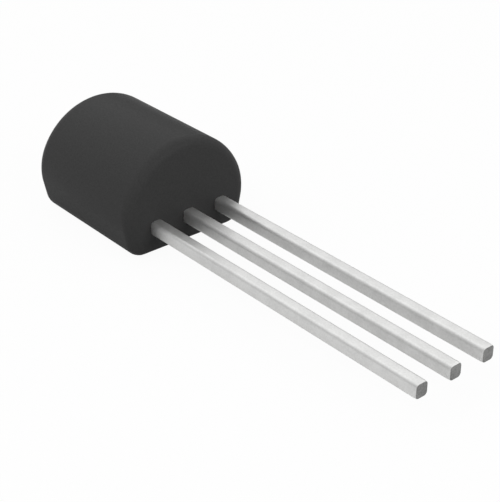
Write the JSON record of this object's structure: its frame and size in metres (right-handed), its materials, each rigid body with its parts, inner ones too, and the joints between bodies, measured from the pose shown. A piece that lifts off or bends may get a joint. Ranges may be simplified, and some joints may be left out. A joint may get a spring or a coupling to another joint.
{
  "type": "temperature sensor",
  "caption": "Moulded temperature sensor with a D-shaped black body, a flat front and a round back, and a row of straight tinned leads from one end.",
  "frame": {"origin": "centre of the flat face, on the face", "axes": "+X along the leads, away from the body; +Y along the lead row; +Z from the flat face to the crown of the round back"},
  "size_m": [0.0167, 0.0048, 0.0035],
  "materials": {
    "mould_compound": "moulded epoxy compound, fine matt",
    "tinned_lead": "matt tin plate on copper alloy",
    "chip_adhesive": "silver-filled adhesive",
    "silicon": "polished silicon, opaque",
    "gold_wire": "drawn gold wire"
  },
  "bodies": {
    "root": {"mould_body": "mould_compound", "lead_left": "tinned_lead", "lead_centre": "tinned_lead", "lead_right": "tinned_lead", "chip_adhesive": "chip_adhesive", "sensor_chip": "silicon", "bond_wire_left": "gold_wire", "bond_wire_centre": "gold_wire", "bond_wire_right": "gold_wire"}
  },
  "joints": []
}
